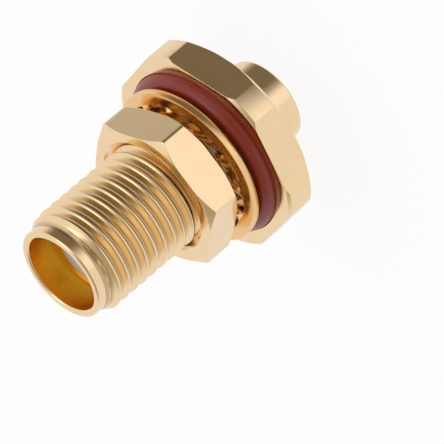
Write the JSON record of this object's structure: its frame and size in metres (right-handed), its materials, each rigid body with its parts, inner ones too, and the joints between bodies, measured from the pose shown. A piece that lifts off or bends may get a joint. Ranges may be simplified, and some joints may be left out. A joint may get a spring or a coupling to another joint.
{
  "type": "sma connector",
  "caption": "Bulkhead coaxial jack for semi-rigid cable: threaded gold barrel, hex flange with a rubber seal, lock washer and panel nut.",
  "frame": {"origin": "on the connector's axis, in the plane of the flange's panel face", "axes": "+Z along the axis towards the mating end; +X through the middle of one flat of the flange"},
  "size_m": [0.0112, 0.012, 0.0161],
  "materials": {
    "gold_body": "gold plated, fine turned",
    "red_rubber": "silicone rubber, satin",
    "gold_washer": "gold plated, stamped",
    "gold_nut": "gold plated, bright",
    "white_ptfe": "matte, slightly translucent",
    "gold_contact": "gold plated, bright"
  },
  "bodies": {
    "shell": {"body": "gold_body", "o_ring": "red_rubber", "insulator": "white_ptfe", "contact": "gold_contact"},
    "washer": {"lock_washer": "gold_washer"},
    "nut": {"hex_nut": "gold_nut"}
  },
  "joints": [
    {"name": "nut_travel", "type": "slide", "parent": "shell", "child": "washer", "axis": [0, 0, 1], "range_m": [-0.0001, 0.00705]},
    {"name": "nut_turn", "type": "hinge", "parent": "washer", "child": "nut", "pos_m": [0, 0, 0.00298], "axis": [0, 0, 1], "range_deg": [-52, 3600]}
  ],
  "couplings": [
    {"joint": "nut_turn", "follows": "nut_travel", "rad_per_m": 8904.7}
  ]
}
